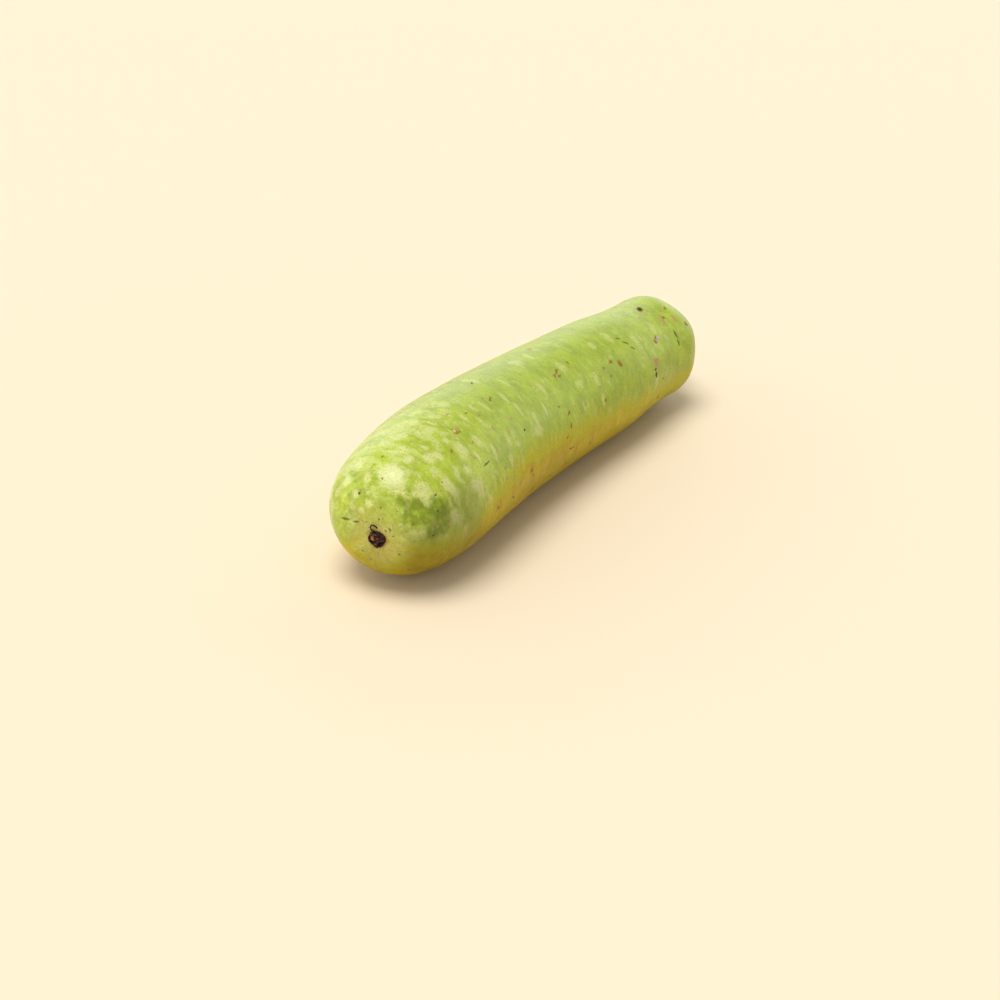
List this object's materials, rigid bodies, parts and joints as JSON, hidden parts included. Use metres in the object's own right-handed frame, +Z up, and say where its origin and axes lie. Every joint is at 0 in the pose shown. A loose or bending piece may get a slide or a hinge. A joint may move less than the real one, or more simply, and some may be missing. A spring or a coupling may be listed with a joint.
{
  "type": "bottle gourd",
  "caption": "Whole fresh bottle gourd lying on its side: a long, slightly bowed pale green fruit, fuller at its blossom end, with a cut stalk stub and dried flower remains.",
  "frame": {"origin": "under the middle of the whole part, on the surface that it rests on", "axes": "+X from the blossom end to the cut stalk, +Z up, +Y to the side that the fruit bows towards"},
  "size_m": [0.3022, 0.0714, 0.07],
  "materials": {
    "rind": "smooth waxy rind, satin, yellow-green with pale flecks and a yellower underside",
    "dried_flower": "dry, crumpled and papery, dark brown",
    "stalk": "ridged and fibrous, grey-green, with a dry tan cut end"
  },
  "bodies": {
    "root": {"fruit": "rind", "cut_stalk": "stalk", "blossom_remains": "dried_flower"}
  },
  "joints": []
}
